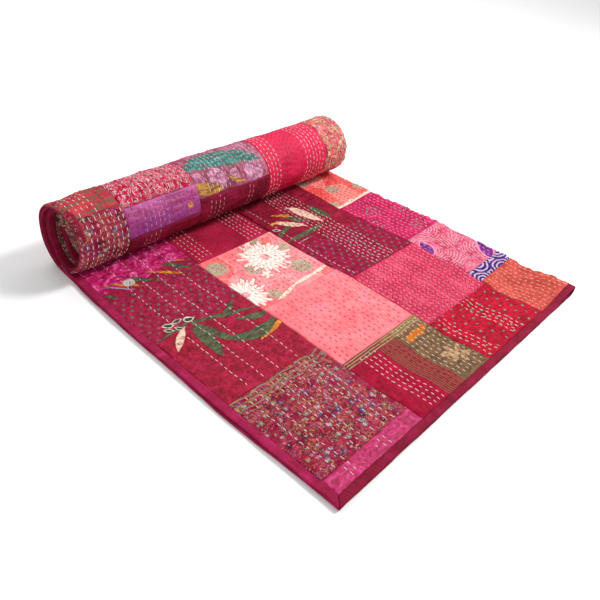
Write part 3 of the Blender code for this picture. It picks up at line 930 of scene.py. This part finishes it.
FABRICS = {
    "swirled_fuchsia": (swirled_fuchsia, 0.5),
    "scroll_border": (paisley_border_print, 0.75),
    "near_leaves": (near_leaves, 0.7),
    "far_leaves": (far_leaves, 0.7),
    "zoned_stripes": (zoned_stripes, 0.75),
    "salmon": (plain(0xF47078, 0xF87C84, 0xFA8890), 0.75),
    "daisies": (daisy_print, 0.75),
    "deep_crimson": (plain(0x960A30, 0xA81038, 0xB41844), 0.75),
    "red_spotted": (red_spotted, 0.65),
    "zigzag_rose": (zigzag_rose, 0.65),
    "terracotta": (terracotta, 0.6),
    "navy_arcs": (navy_arcs, 0.65),
    "pink_arcs": (pink_arcs, 0.65),
    "hot_pink_sprigs": (hot_pink_sprigs, 0.6),
    "spotted_coral": (spotted_coral, 0.7),
    "brushed_terracotta": (brushed_terracotta, 0.65),
    "sown_multicolour": (sown_multicolour, 0.75),
    "worm_lines": (worm_lines, 0.7),
    "silky_purple": (silky_purple, 0.45),
    "teal_brush": (teal_brush_print, 0.6),
    "maroon": (plain(0x6C0824, 0x7E0C30, 0x90103C), 0.6),
    "bright_pink": (plain(0xC0003C, 0xD00444, 0xDC0C4C), 0.6),
    "small_coral_floral": (small_coral_floral, 0.75),
    "pale_sprigs": (pale_sprigs, 0.8),
}

# The silks, which shine more than the cottons
GLOSSY = {
    "silky_purple": 0.45, "swirled_fuchsia": 0.25, "teal_brush": 0.35, "bright_pink": 0.2,
    "near_leaves": 0.14,
}

# How loosely each cloth lies: 1 where nothing is given
LOOSE = {
    "salmon": 0.6, "bright_pink": 0.55, "deep_crimson": 0.5, "near_leaves": 1.5, "far_leaves": 1.3,
    "terracotta": 1.5, "silky_purple": 0.8, "teal_brush": 1.3, "zigzag_rose": 0.9, "hot_pink_sprigs": 1.3,
    "scroll_border": 1.2, "red_spotted": 1.3, "pink_arcs": 1.2, "daisies": 0.8,
}

# The thread of the rows that hardly show
QUIET_THREADS = {
    "near_leaves": "wine_thread", "far_leaves": "wine_thread", "deep_crimson": "wine_thread",
    "zoned_stripes": "wine_thread", "red_spotted": "wine_thread", "pink_arcs": "rose_thread",
    "spotted_coral": "red_thread", "scroll_border": "wine_thread", "teal_brush": "rose_thread",
    "silky_purple": "wine_thread", "maroon": "wine_thread", "worm_lines": "white_thread",
    "bright_pink": "red_thread", "small_coral_floral": "peach_thread",
}

THREADS = {
    "white_thread": 0xFFF2EA,
    "rose_thread": 0xF6B4BC,
    "peach_thread": 0xFFC8A4,
    "red_thread": 0xC41840,
    "wine_thread": 0x9A1A3C,
    "brown_thread": 0x4C241C,
    "lilac_thread": 0xE4B0D4,
}

# Bright rows of stitches over a whole patch, and where the flat patches end, just inside the roll
ALL_OVER = ((0.0, 0.6),)
FLAT_END = ROLL_Y + 0.004

# Patches of the upper face: name, fabric, across from and to, along from and to, thread, and the spans
# across in which its rows stand out
UPPER_PATCHES = (
    ("corner_strip", "swirled_fuchsia", PATCH_START, 0.218, PATCH_START, 0.045, "white_thread",
     ((0.03, 0.06), (0.1, 0.13))),
    ("scroll_border_patch", "scroll_border", PATCH_START, 0.218, 0.045, 0.234, "brown_mix",
     ((0.02, 0.18),)),
    ("near_leaf_patch", "near_leaves", PATCH_START, 0.218, 0.234, FLAT_END, "white_thread",
     ((0.05, 0.062), (0.082, 0.092), (0.116, 0.126), (0.16, 0.17))),
    ("striped_patch", "zoned_stripes", 0.218, 0.426, PATCH_START, 0.176, "white_thread",
     ((0.03, 0.078), (0.13, 0.2))),
    ("salmon_patch", "salmon", 0.218, 0.424, 0.176, 0.364, "salmon_mix", ALL_OVER),
    ("daisy_patch", "daisies", 0.218, 0.42, 0.364, 0.542, "salmon_mix", ((0.02, 0.19),)),
    ("deep_crimson_patch", "deep_crimson", 0.218, 0.416, 0.542, FLAT_END, "white_thread",
     ((0.0, 0.055), (0.14, 0.2))),
    ("red_spotted_patch", "red_spotted", 0.426, 0.633, PATCH_START, 0.139, "white_thread",
     ((0.0, 0.045), (0.1, 0.14))),
    ("zigzag_patch", "zigzag_rose", 0.425, 0.632, 0.139, 0.324, "rose_thread", ALL_OVER),
    ("far_leaf_patch", "far_leaves", 0.42, 0.628, 0.324, FLAT_END, "white_thread",
     ((0.01, 0.02), (0.08, 0.155))),
    ("terracotta_patch", "terracotta", 0.633, 0.805, PATCH_START, 0.148, "peach_thread", ALL_OVER),
    ("navy_strip", "navy_arcs", 0.632, 0.805, 0.148, 0.18, "", ()),
    ("pink_arc_patch", "pink_arcs", 0.632, 0.805, 0.18, 0.336, "rose_thread", ((0.09, 0.13),)),
    ("hot_pink_patch", "hot_pink_sprigs", 0.629, 0.805, 0.336, 0.516, "rose_thread", ALL_OVER),
    ("spotted_coral_patch", "spotted_coral", 0.627, 0.805, 0.516, FLAT_END, "", ()),
)

# Patches of the lower face where it is rolled: x is counted from the lower layer's open edge
ROLL_PATCHES = (
    ("roll_brushed_patch", "brushed_terracotta", -0.001, 0.105, 0.84, 0.924, "white_thread",
     ((0.0, 0.06),)),
    ("roll_multicolour_patch", "sown_multicolour", -0.001, 0.105, 0.924, 1.09, "white_thread", ALL_OVER),
    ("roll_worm_patch", "worm_lines", 0.105, 0.28, 0.81, 0.932, "", ()),
    ("roll_purple_patch", "silky_purple", 0.105, 0.28, 0.932, 0.992, "lilac_thread", ((0.03, 0.1),)),
    ("roll_maroon_patch", "maroon", 0.105, 0.28, 0.992, 1.09, "rose_thread", ((0.03, 0.08),)),
    ("roll_teal_patch", "teal_brush", 0.28, 0.48, 0.858, 0.966, "white_thread",
     ((0.02, 0.09), (0.15, 0.19))),
    ("roll_wine_patch", "maroon", 0.28, 0.48, 0.966, 1.09, "rose_thread", ((0.02, 0.07), (0.14, 0.16))),
    ("roll_pink_patch", "bright_pink", 0.48, 0.675, 0.84, 1.09, "white_thread",
     ((0.0, 0.045), (0.12, 0.2))),
    ("roll_coral_patch", "small_coral_floral", 0.675, 0.81, 0.83, 1.025, "", ()),
    ("roll_end_patch", "deep_crimson", 0.675, 0.81, 1.025, 1.09, "", ()),
)

# The upper face inside the roll's end
MOUTH_PATCHES = (("mouth_strip", "pale_sprigs", PATCH_START, 0.07, 1.03, 1.7, "", ()),)

# The lower face out of the photograph's sight: the seams across, and each column's seams and fabrics from
# the front on
HIDDEN_SEAMS = (PATCH_START, 0.19, 0.37, 0.55, 0.715)
HIDDEN_LENGTHS = (
    (PATCH_START, 0.165, 0.33, 0.5, ROLL_Y),
    (PATCH_START, 0.12, 0.3, 0.46, ROLL_Y),
    (PATCH_START, 0.18, 0.29, 0.48, ROLL_Y),
    (PATCH_START, 0.14, 0.34, 0.52, ROLL_Y),
)
HIDDEN_FABRICS = (
    ("worm_lines", "deep_crimson", "salmon", "silky_purple"),
    ("bright_pink", "sown_multicolour", "hot_pink_sprigs", "maroon"),
    ("zigzag_rose", "brushed_terracotta", "red_spotted", "small_coral_floral"),
    ("deep_crimson", "swirled_fuchsia", "worm_lines", "bright_pink"),
)
BACK_PATCHES = (
    ("back_red_patch", "red_spotted", PATCH_START, 0.105, ROLL_Y, 0.84, "white_thread", ALL_OVER),
    ("back_salmon_patch", "salmon", 0.105, 0.28, ROLL_Y, 0.81, "red_thread", ALL_OVER),
    ("back_fuchsia_patch", "swirled_fuchsia", 0.28, 0.48, ROLL_Y, 0.858, "white_thread", ALL_OVER),
    ("back_multicolour_patch", "sown_multicolour", 0.48, 0.675, ROLL_Y, 0.84, "white_thread",
     ((0.05, 0.15),)),
    ("back_rose_patch", "zigzag_rose", 0.675, 0.81, ROLL_Y, 0.83, "rose_thread", ALL_OVER),
)


def fabric_material(fabric, index):
    """The material of one patch: its seed moves the pattern so that no two patches match."""
    pattern, roughness = FABRICS[fabric]
    f = Fabric(f"{fabric}_{index:02d}", 0.37 * index)
    loose = LOOSE.get(fabric, 1.0)
    gloss = GLOSSY.get(fabric, PLAIN_GLOSS)
    # Looser cloth gets more relief and deeper painted shade in its crease hollows
    return f.finish(pattern(f), roughness, gloss, relief=0.0022 * loose, crease_shade=0.24 * loose - 0.08)


def patch(spec, face, index, cell):
    """One patch of cloth on the quilt's face, turned under along its seams."""
    name, fabric, x0, x1, s0, s1 = spec[:6]
    lower = face == "lower"
    columns, rows = int((x1 - x0) / cell) + 2, int((s1 - s0) / cell) + 2
    x, s = np.meshgrid(np.linspace(x0, x1, columns), np.linspace(s0, s1, rows))
    w = 2 * FOLDED_WIDTH - x if lower else x
    edge = np.minimum(np.minimum(x - x0, x1 - x), np.minimum(s - s0, s1 - s))
    sewn = np.minimum(edge + (x < BESIDE_BINDING) + (s < BESIDE_BINDING), 1.0)
    dip = SEAM_DIP * (1 - smooth(sewn / SEAM_HALF))
    lift = quilting(w, s, LOOSE.get(fabric, 1.0)) * smooth(edge / SEAM_FLAT) - dip
    pressed = s1 < ROLL_Y + 0.001 if lower else s0 > ROLL_Y
    if pressed:
        lift = np.minimum(lift, 0.0)
    inside = smooth((x - PATCH_START) / OPEN_REACH) * smooth((s - PATCH_START) / OPEN_REACH)
    seen_w = w + SEAM_WANDER * hills(s / 0.06, x * 0 + 3, 11) * inside
    seen_s = s + SEAM_WANDER * hills(x / 0.06, s * 0 + 5, 12) * inside
    if lower and x0 < BINDING_WIDTH / 2:
        ends = smooth((s - s0) / SEAM_FLAT) * smooth((s1 - s) / SEAM_FLAT)
        lift = np.where(x < x0 + OPEN_REACH, quilting(seen_w, s, 0.6) * ends, lift)
        lift = lift + OPEN_LIFT * (1 - smooth((x - x0) / OPEN_ROUND))
    rim = rim_of(columns, rows)
    bed = surface(seen_w.ravel()[rim], seen_s.ravel()[rim], CLOTH_BED)
    points = np.concatenate([surface(seen_w, seen_s, lift).reshape(-1, 3), bed])
    uvs = np.stack([x - x0, s - s0], -1).reshape(-1, 2)
    turned_under = rim_faces(rim, rows * columns + np.arange(len(rim)), lower)
    faces = grid_faces(rows, columns, flip=lower) + turned_under
    made = mesh_object(name, points, faces, np.concatenate([uvs, uvs[rim]]))
    made.data.materials.append(fabric_material(fabric, index))
    return made


def stitch_places(spec, face):
    """Each stitch's row, number, place along and looseness: those of the bright rows, and the rest."""
    fabric, x0, x1, s0, s1, thread, shown = spec[1:]
    bright, quiet = [], []
    for k in range(int((2 * FOLDED_WIDTH) / ROW) + 1):
        x = k * ROW if face == "upper" else 2 * FOLDED_WIDTH - k * ROW
        if not x0 + 0.003 < x < x1 - 0.003:
            continue
        into = bright if any(a <= x - x0 <= b for a, b in shown) else quiet
        phase = float(lattice(float(k), 0.0, 3))
        for n in range(int(s0 / STITCH), int(s1 / STITCH) + 2):
            s = (n - phase) * STITCH
            if s0 + 0.005 < s < s1 - 0.005:
                into.append((k, n, s, LOOSE.get(fabric, 1.0)))
    return bright, quiet


def thread_material(name, code):
    """Twisted cotton thread."""
    f = Fabric(name, 0.0, "object")
    twist = f.noise(900.0, 2.0)
    colour = f.blend(code, 0x803040, f.below(twist, 0.45, 0.1) * 0.15)
    f.tree.links.new(colour.socket, f.shader.inputs["Base Color"])
    f.shader.inputs["Roughness"].default_value = 0.6
    f.shader.inputs["Specular IOR Level"].default_value = 0.2
    return f.material


def stitches(name, thread, places, sides, steps):
    """Raised running stitches as short thick threads whose ends dive into the cloth."""
    k, n, s, loose = (np.array(column, float)[:, None, None] for column in zip(*places))
    length = STITCH_LENGTH * (1 + 0.22 * (2 * lattice(k, n, 21) - 1))
    slant = STITCH_SLANT * (2 * lattice(k, n, 22) - 1)
    t = np.linspace(-1, 1, steps)[None, :, None]
    turn = (2 * pi * np.arange(sides) / sides)[None, None, :]
    at = s + t * length / 2
    w = row_at(k, at) + slant * t
    lift = quilting(w, at, loose) + STITCH_RISE - STITCH_DIVE * t**4
    thick = THREAD_RADIUS * (1 - 0.25 * t**2)
    points = surface(w + thick * np.cos(turn), at + 0 * turn, lift + thick * np.sin(turn))
    faces = []
    for i in range(len(places)):
        first = i * steps * sides
        faces += grid_faces(steps, sides, closed=True, first=first)
        faces.append([first + j for j in range(sides)][::-1])
        faces.append([first + (steps - 1) * sides + j for j in range(sides)])
    made = mesh_object(name, points, faces)
    made.data.materials.append(thread_material(name + "_cotton", THREADS[thread]))
    return made


def base_cloth():
    """The quilt's own layer, one sheet folded in half and rolled up, under all the patches."""
    straight = FOLDED_WIDTH - 0.018
    near = np.linspace(BINDING_WIDTH * 0.4, straight, 26)
    fold = np.linspace(straight, 2 * FOLDED_WIDTH - straight, 11)[1:-1]
    across = np.concatenate([near, fold, 2 * FOLDED_WIDTH - near[::-1]])
    along = np.concatenate([np.linspace(BINDING_WIDTH * 0.4, ROLL_Y, 34)[:-1], roll_lengths(240)])
    w, s = np.meshgrid(across, along)
    rows, columns = w.shape
    points = np.concatenate([surface(w, s, lift).reshape(-1, 3) for lift in (CLOTH_BED, -LAYER)])
    faces = grid_faces(rows, columns) + grid_faces(rows, columns, flip=True, first=w.size)
    rim = rim_of(columns, rows)
    uvs = np.stack([w, s], -1).reshape(-1, 2)
    faces += rim_faces(rim, rim + w.size)
    made = mesh_object("quilt_base", points, faces, np.concatenate([uvs, uvs]))
    f = Fabric("base_patchwork", 0.2)
    cell = f.math("FLOOR", f.v / 0.165) * 7.3 + f.math("FLOOR", f.u / 0.19)
    pick = f.node("ShaderNodeTexWhiteNoise", {"noise_dimensions": "1D"}, {"W": cell})
    codes = [0x8A1030, 0xA01444, 0xB81848, 0x6E1236, 0xC43050, 0x7C1838, 0xD04868, 0x9A2C40]
    made.data.materials.append(f.finish(f.palette(pick, codes), 0.75))
    return made


# The bindings' dye and a lighter copy of it painted on where the strips lie flat, how far along the quilt
# the strips turn into a print, and the strips' mitre and wander
CRIMSON = (0x780628, 0x860A30, 0x94103C)
LIT_CRIMSON = (0x90103C, 0xA01648, 0xB02056)
CORE_PRINT = 1.5
MITRE = 0.02
STRIP_WANDER = 0.0006


def binding_material(name, seed, along=False):
    """Crimson cotton. Along the quilt it is painted lighter where it lies flat and keeps the darker dye in
    the roll, painted light and shade, and it is printed in the roll's middle.
    """
    f = Fabric(name, seed)
    colour = mottled(f, *CRIMSON, 30.0, 0.8)
    if along:
        # Painted light and shade: the lighter crimson where the strip lies flat, the darker one where it is
        # wound into the roll
        colour = f.blend(mottled(f, *LIT_CRIMSON, 30.0, 0.8), colour, f.above(f.v, ROLL_Y, 0.03))
        colour = f.blend(colour, pale_sprigs(f), f.above(f.v, CORE_PRINT, 0.002))
    fray = f.streaks(500.0, 40.0)
    return f.finish(f.blend(colour, 0x6C0C2C, f.below(fray, 0.42, 0.1) * 0.35), 0.7, 0.06, 0.0014)


def strip_ring(thick):
    """A binding's section: distance in from its outer edge, and depth from the middle of its layer."""
    half = thick / 2
    flat = BINDING_WIDTH - FIT - half
    outer = [(half * 0.9 * (1 + cos(a)), half * sin(a)) for a in np.linspace(pi / 2, 3 * pi / 2, 7)]
    inwards = [(half + flat * t, half * (1 - 0.25 * t**6)) for t in np.linspace(0.0, 1.0, 5)[1:]]
    return np.array(inwards[::-1] + outer + [(across, -off) for across, off in inwards])


def pucker(run, off, seed, first):
    """How far the sewn cotton of a strip swells off its section."""
    fine = hills(run / 0.006, off / 0.002 + seed, first)
    return (0.00022 * fine + 0.0003 * hills(run / 0.022, off * 0 + seed, first + 1)) * np.sign(off)


def strip_object(name, points, across, run, material, flip=False):
    """A binding from rings of points along it, closed at both ends."""
    rings, sides = points.shape[:2]
    start = list(range(sides))
    end = [(rings - 1) * sides + j for j in start]
    ends = [start, end[::-1]] if flip else [start[::-1], end]
    faces = grid_faces(rings, sides, closed=True, flip=flip) + ends
    made = mesh_object(name, points, faces, np.stack(np.broadcast_arrays(across, run), -1))
    made.data.materials.append(material)
    return made


def long_binding(name, middle, shown, seed):
    """The strip along one open long edge, mitred at the front corner and wound with the roll."""
    across, off = strip_ring(LAYER + 0.0006 * (1 - shown)).T[:, None, :]
    s = np.concatenate([np.linspace(0.0, ROLL_Y, 190)[:-1], roll_lengths(330)])[:, None]
    run = s + (across + 2 * FIT) * np.clip(1 - s / MITRE, 0, 1)
    inner = across / BINDING_WIDTH
    wander = STRIP_WANDER * hills(run / 0.03, off * 0 + seed, 33)
    beyond = shown * peek(run) * (1 - inner) + wander
    x = left_edge(run) + across - beyond * (1 - inner)
    depth = middle + off + pucker(run, off, seed, 31)
    depth = np.where((run < ROLL_Y) & (off < 0) & (shown > 0), np.maximum(depth, 0.0), depth)
    material = binding_material(name + "_cotton", seed, along=True)
    return strip_object(name, embed(x, run, depth), across, run, material)


def front_binding():
    """The strip along the front edge, over the upper layer, round the fold and under the lower one."""
    along, off = strip_ring(LAYER).T[:, None, :]
    straight, width = FOLDED_WIDTH - 0.04, 2 * FOLDED_WIDTH
    upper = np.linspace(0, straight, 190)[:-1]
    fold = np.linspace(straight, width - straight, 44)
    lower = np.linspace(width - straight, width, 190)[1:]
    w = np.concatenate([upper, fold, lower])[:, None]
    near, far = np.clip(1 - w / MITRE, 0, 1), np.clip(1 - (width - w) / MITRE, 0, 1)
    run = w + (along + FIT) * (near - far)
    lift = off - LAYER / 2 + pucker(run, off, 0, 41)
    lift = np.where(run > FOLDED_WIDTH, np.minimum(lift, 0.0), lift)
    y = along + STRIP_WANDER * hills(run / 0.03, off * 0, 43) * (1 - along / BINDING_WIDTH)
    points = surface(run, np.maximum(y, 0), lift)
    material = binding_material("front_binding_cotton", 4.1)
    return strip_object("front_binding_strip", points, along, run, material, flip=True)


def hidden_specs():
    """The underside's patches, which the photograph doesn't show."""
    specs = []
    for column, (x0, x1) in enumerate(zip(HIDDEN_SEAMS, HIDDEN_SEAMS[1:])):
        for row, (s0, s1) in enumerate(zip(HIDDEN_LENGTHS[column], HIDDEN_LENGTHS[column][1:])):
            name = f"under_patch_{column + 1}{row + 1}"
            specs.append((name, HIDDEN_FABRICS[column][row], x0, x1, s0, s1, "white_thread", ALL_OVER))
    return specs


def thread_for(thread, k, n):
    """The thread of one stitch, where a patch is sewn with two."""
    if thread == "salmon_mix":
        return "red_thread" if lattice(k, n, 9) > 0.3 else "peach_thread"
    if thread == "brown_mix":
        return "brown_thread" if lattice(k, 4.0, 9) > 0.6 else "white_thread"
    return thread


def build_patches():
    """All the patches, and the running stitches on them by face and thread."""
    pieces, index = [], 0
    for face, cell, sides, steps, specs in (
        ("upper", 0.0024, 5, 5, UPPER_PATCHES),
        ("mouth", 0.0036, 4, 4, MOUTH_PATCHES),
        ("roll", 0.0025, 5, 5, ROLL_PATCHES),
        ("back", 0.0034, 4, 4, BACK_PATCHES),
        ("under", 0.0052, 4, 4, hidden_specs()),
    ):
        side = "upper" if face in ("upper", "mouth") else "lower"
        by_thread = {}
        for spec in specs:
            index += 1
            pieces.append(patch(spec, side, index, cell))
            bright, quiet = stitch_places(spec, side)
            for place in bright:
                by_thread.setdefault(thread_for(spec[6], *place[:2]), []).append(place)
            if face in ("upper", "roll") and spec[1] in QUIET_THREADS:
                by_thread.setdefault(QUIET_THREADS[spec[1]], []).extend(quiet)
        for thread, places in sorted(by_thread.items()):
            pieces.append(stitches(f"{face}_{thread}", thread, places, sides, steps))
            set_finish(pieces[-1], "thread")
    return pieces


# The lights: where each stands, what it is turned to, its size in metres and its power in watts
LIGHTS = (
    ("key_light", (1.5, -0.6, 1.8), (0.0, 0.0, 0.0), 0.6, 57.0),
    ("back_light", (-0.1, 1.6, 1.6), (0.0, 0.0, 0.0), 0.9, 14.0),
    ("left_light", (-1.8, -0.7, 0.7), (0.0, 0.0, 0.0), 1.2, 10.0),
    ("floor_light", (3.1, 2.2, 3.0), (3.1, 2.3, 0.0), 3.0, 64.0),
)
FLOOR_SIZE = 12.0
ROOM_LIGHT = 0.36


def studio():
    """A pale floor and surround, three soft lights on the quilt and one on the floor behind it."""
    bpy.ops.mesh.primitive_plane_add(size=FLOOR_SIZE, location=(0.0, 0.0, -0.0004))
    floor = bpy.context.object
    floor.name = "floor"
    paint = bpy.data.materials.new("floor_white")
    paint.use_nodes = True
    shader = paint.node_tree.nodes["Principled BSDF"]
    shader.inputs["Base Color"].default_value = (0.93, 0.93, 0.93, 1.0)
    shader.inputs["Roughness"].default_value = 0.9
    floor.data.materials.append(paint)
    world = bpy.data.worlds.new("pale_room")
    world.use_nodes = True
    background = world.node_tree.nodes["Background"]
    background.inputs["Color"].default_value = (1.0, 1.0, 1.0, 1.0)
    background.inputs["Strength"].default_value = ROOM_LIGHT
    bpy.context.scene.world = world
    bpy.context.scene.view_settings.view_transform = "Standard"
    for name, at, towards, size, power in LIGHTS:
        light = bpy.data.lights.new(name, "AREA")
        light.size = size
        light.energy = power
        lamp = bpy.data.objects.new(name, light)
        lamp.location = at
        lamp.rotation_euler = (Vector(towards) - Vector(at)).to_track_quat("-Z", "Y").to_euler()
        bpy.context.scene.collection.objects.link(lamp)


def camera():
    """The photograph's viewpoint, a little rolled."""
    level = cos(CAMERA_DOWN)
    forward = Vector((-sin(CAMERA_YAW) * level, cos(CAMERA_YAW) * level, -sin(CAMERA_DOWN)))
    right = forward.cross(Vector((0, 0, 1))).normalized()
    up = right.cross(forward)
    tilted_right = right * cos(CAMERA_ROLL) + up * sin(CAMERA_ROLL)
    tilted_up = up * cos(CAMERA_ROLL) - right * sin(CAMERA_ROLL)
    data = bpy.data.cameras.new("camera")
    data.lens = CAMERA_LENS
    data.sensor_width = 36.0
    made = bpy.data.objects.new("camera", data)
    turn = Matrix((tilted_right, tilted_up, -forward)).transposed().to_4x4()
    place = Vector(CAMERA_AT) + Vector((CORNER.x, CORNER.y, 0.0))
    made.matrix_world = Matrix.Translation(place) @ turn
    bpy.context.scene.collection.objects.link(made)
    bpy.context.scene.camera = made


camera()
studio()

base = base_cloth()
upper_binding = long_binding("upper_binding_strip", BAND - LAYER / 2, 0, 1.7)
lower_binding = long_binding("lower_binding_strip", LAYER / 2, 1, 2.9)
front = front_binding()
patches = build_patches()

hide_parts("quilt_cloth")
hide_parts("binding_upper")
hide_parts("binding_lower")
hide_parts("binding_front")
for piece in (upper_binding, lower_binding, front):
    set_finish(piece, "binding")
for piece in [base] + [p for p in patches if "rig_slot" not in p]:
    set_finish(piece, "patchwork")
for piece in [base, upper_binding, lower_binding, front] + patches:
    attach(piece, "root")
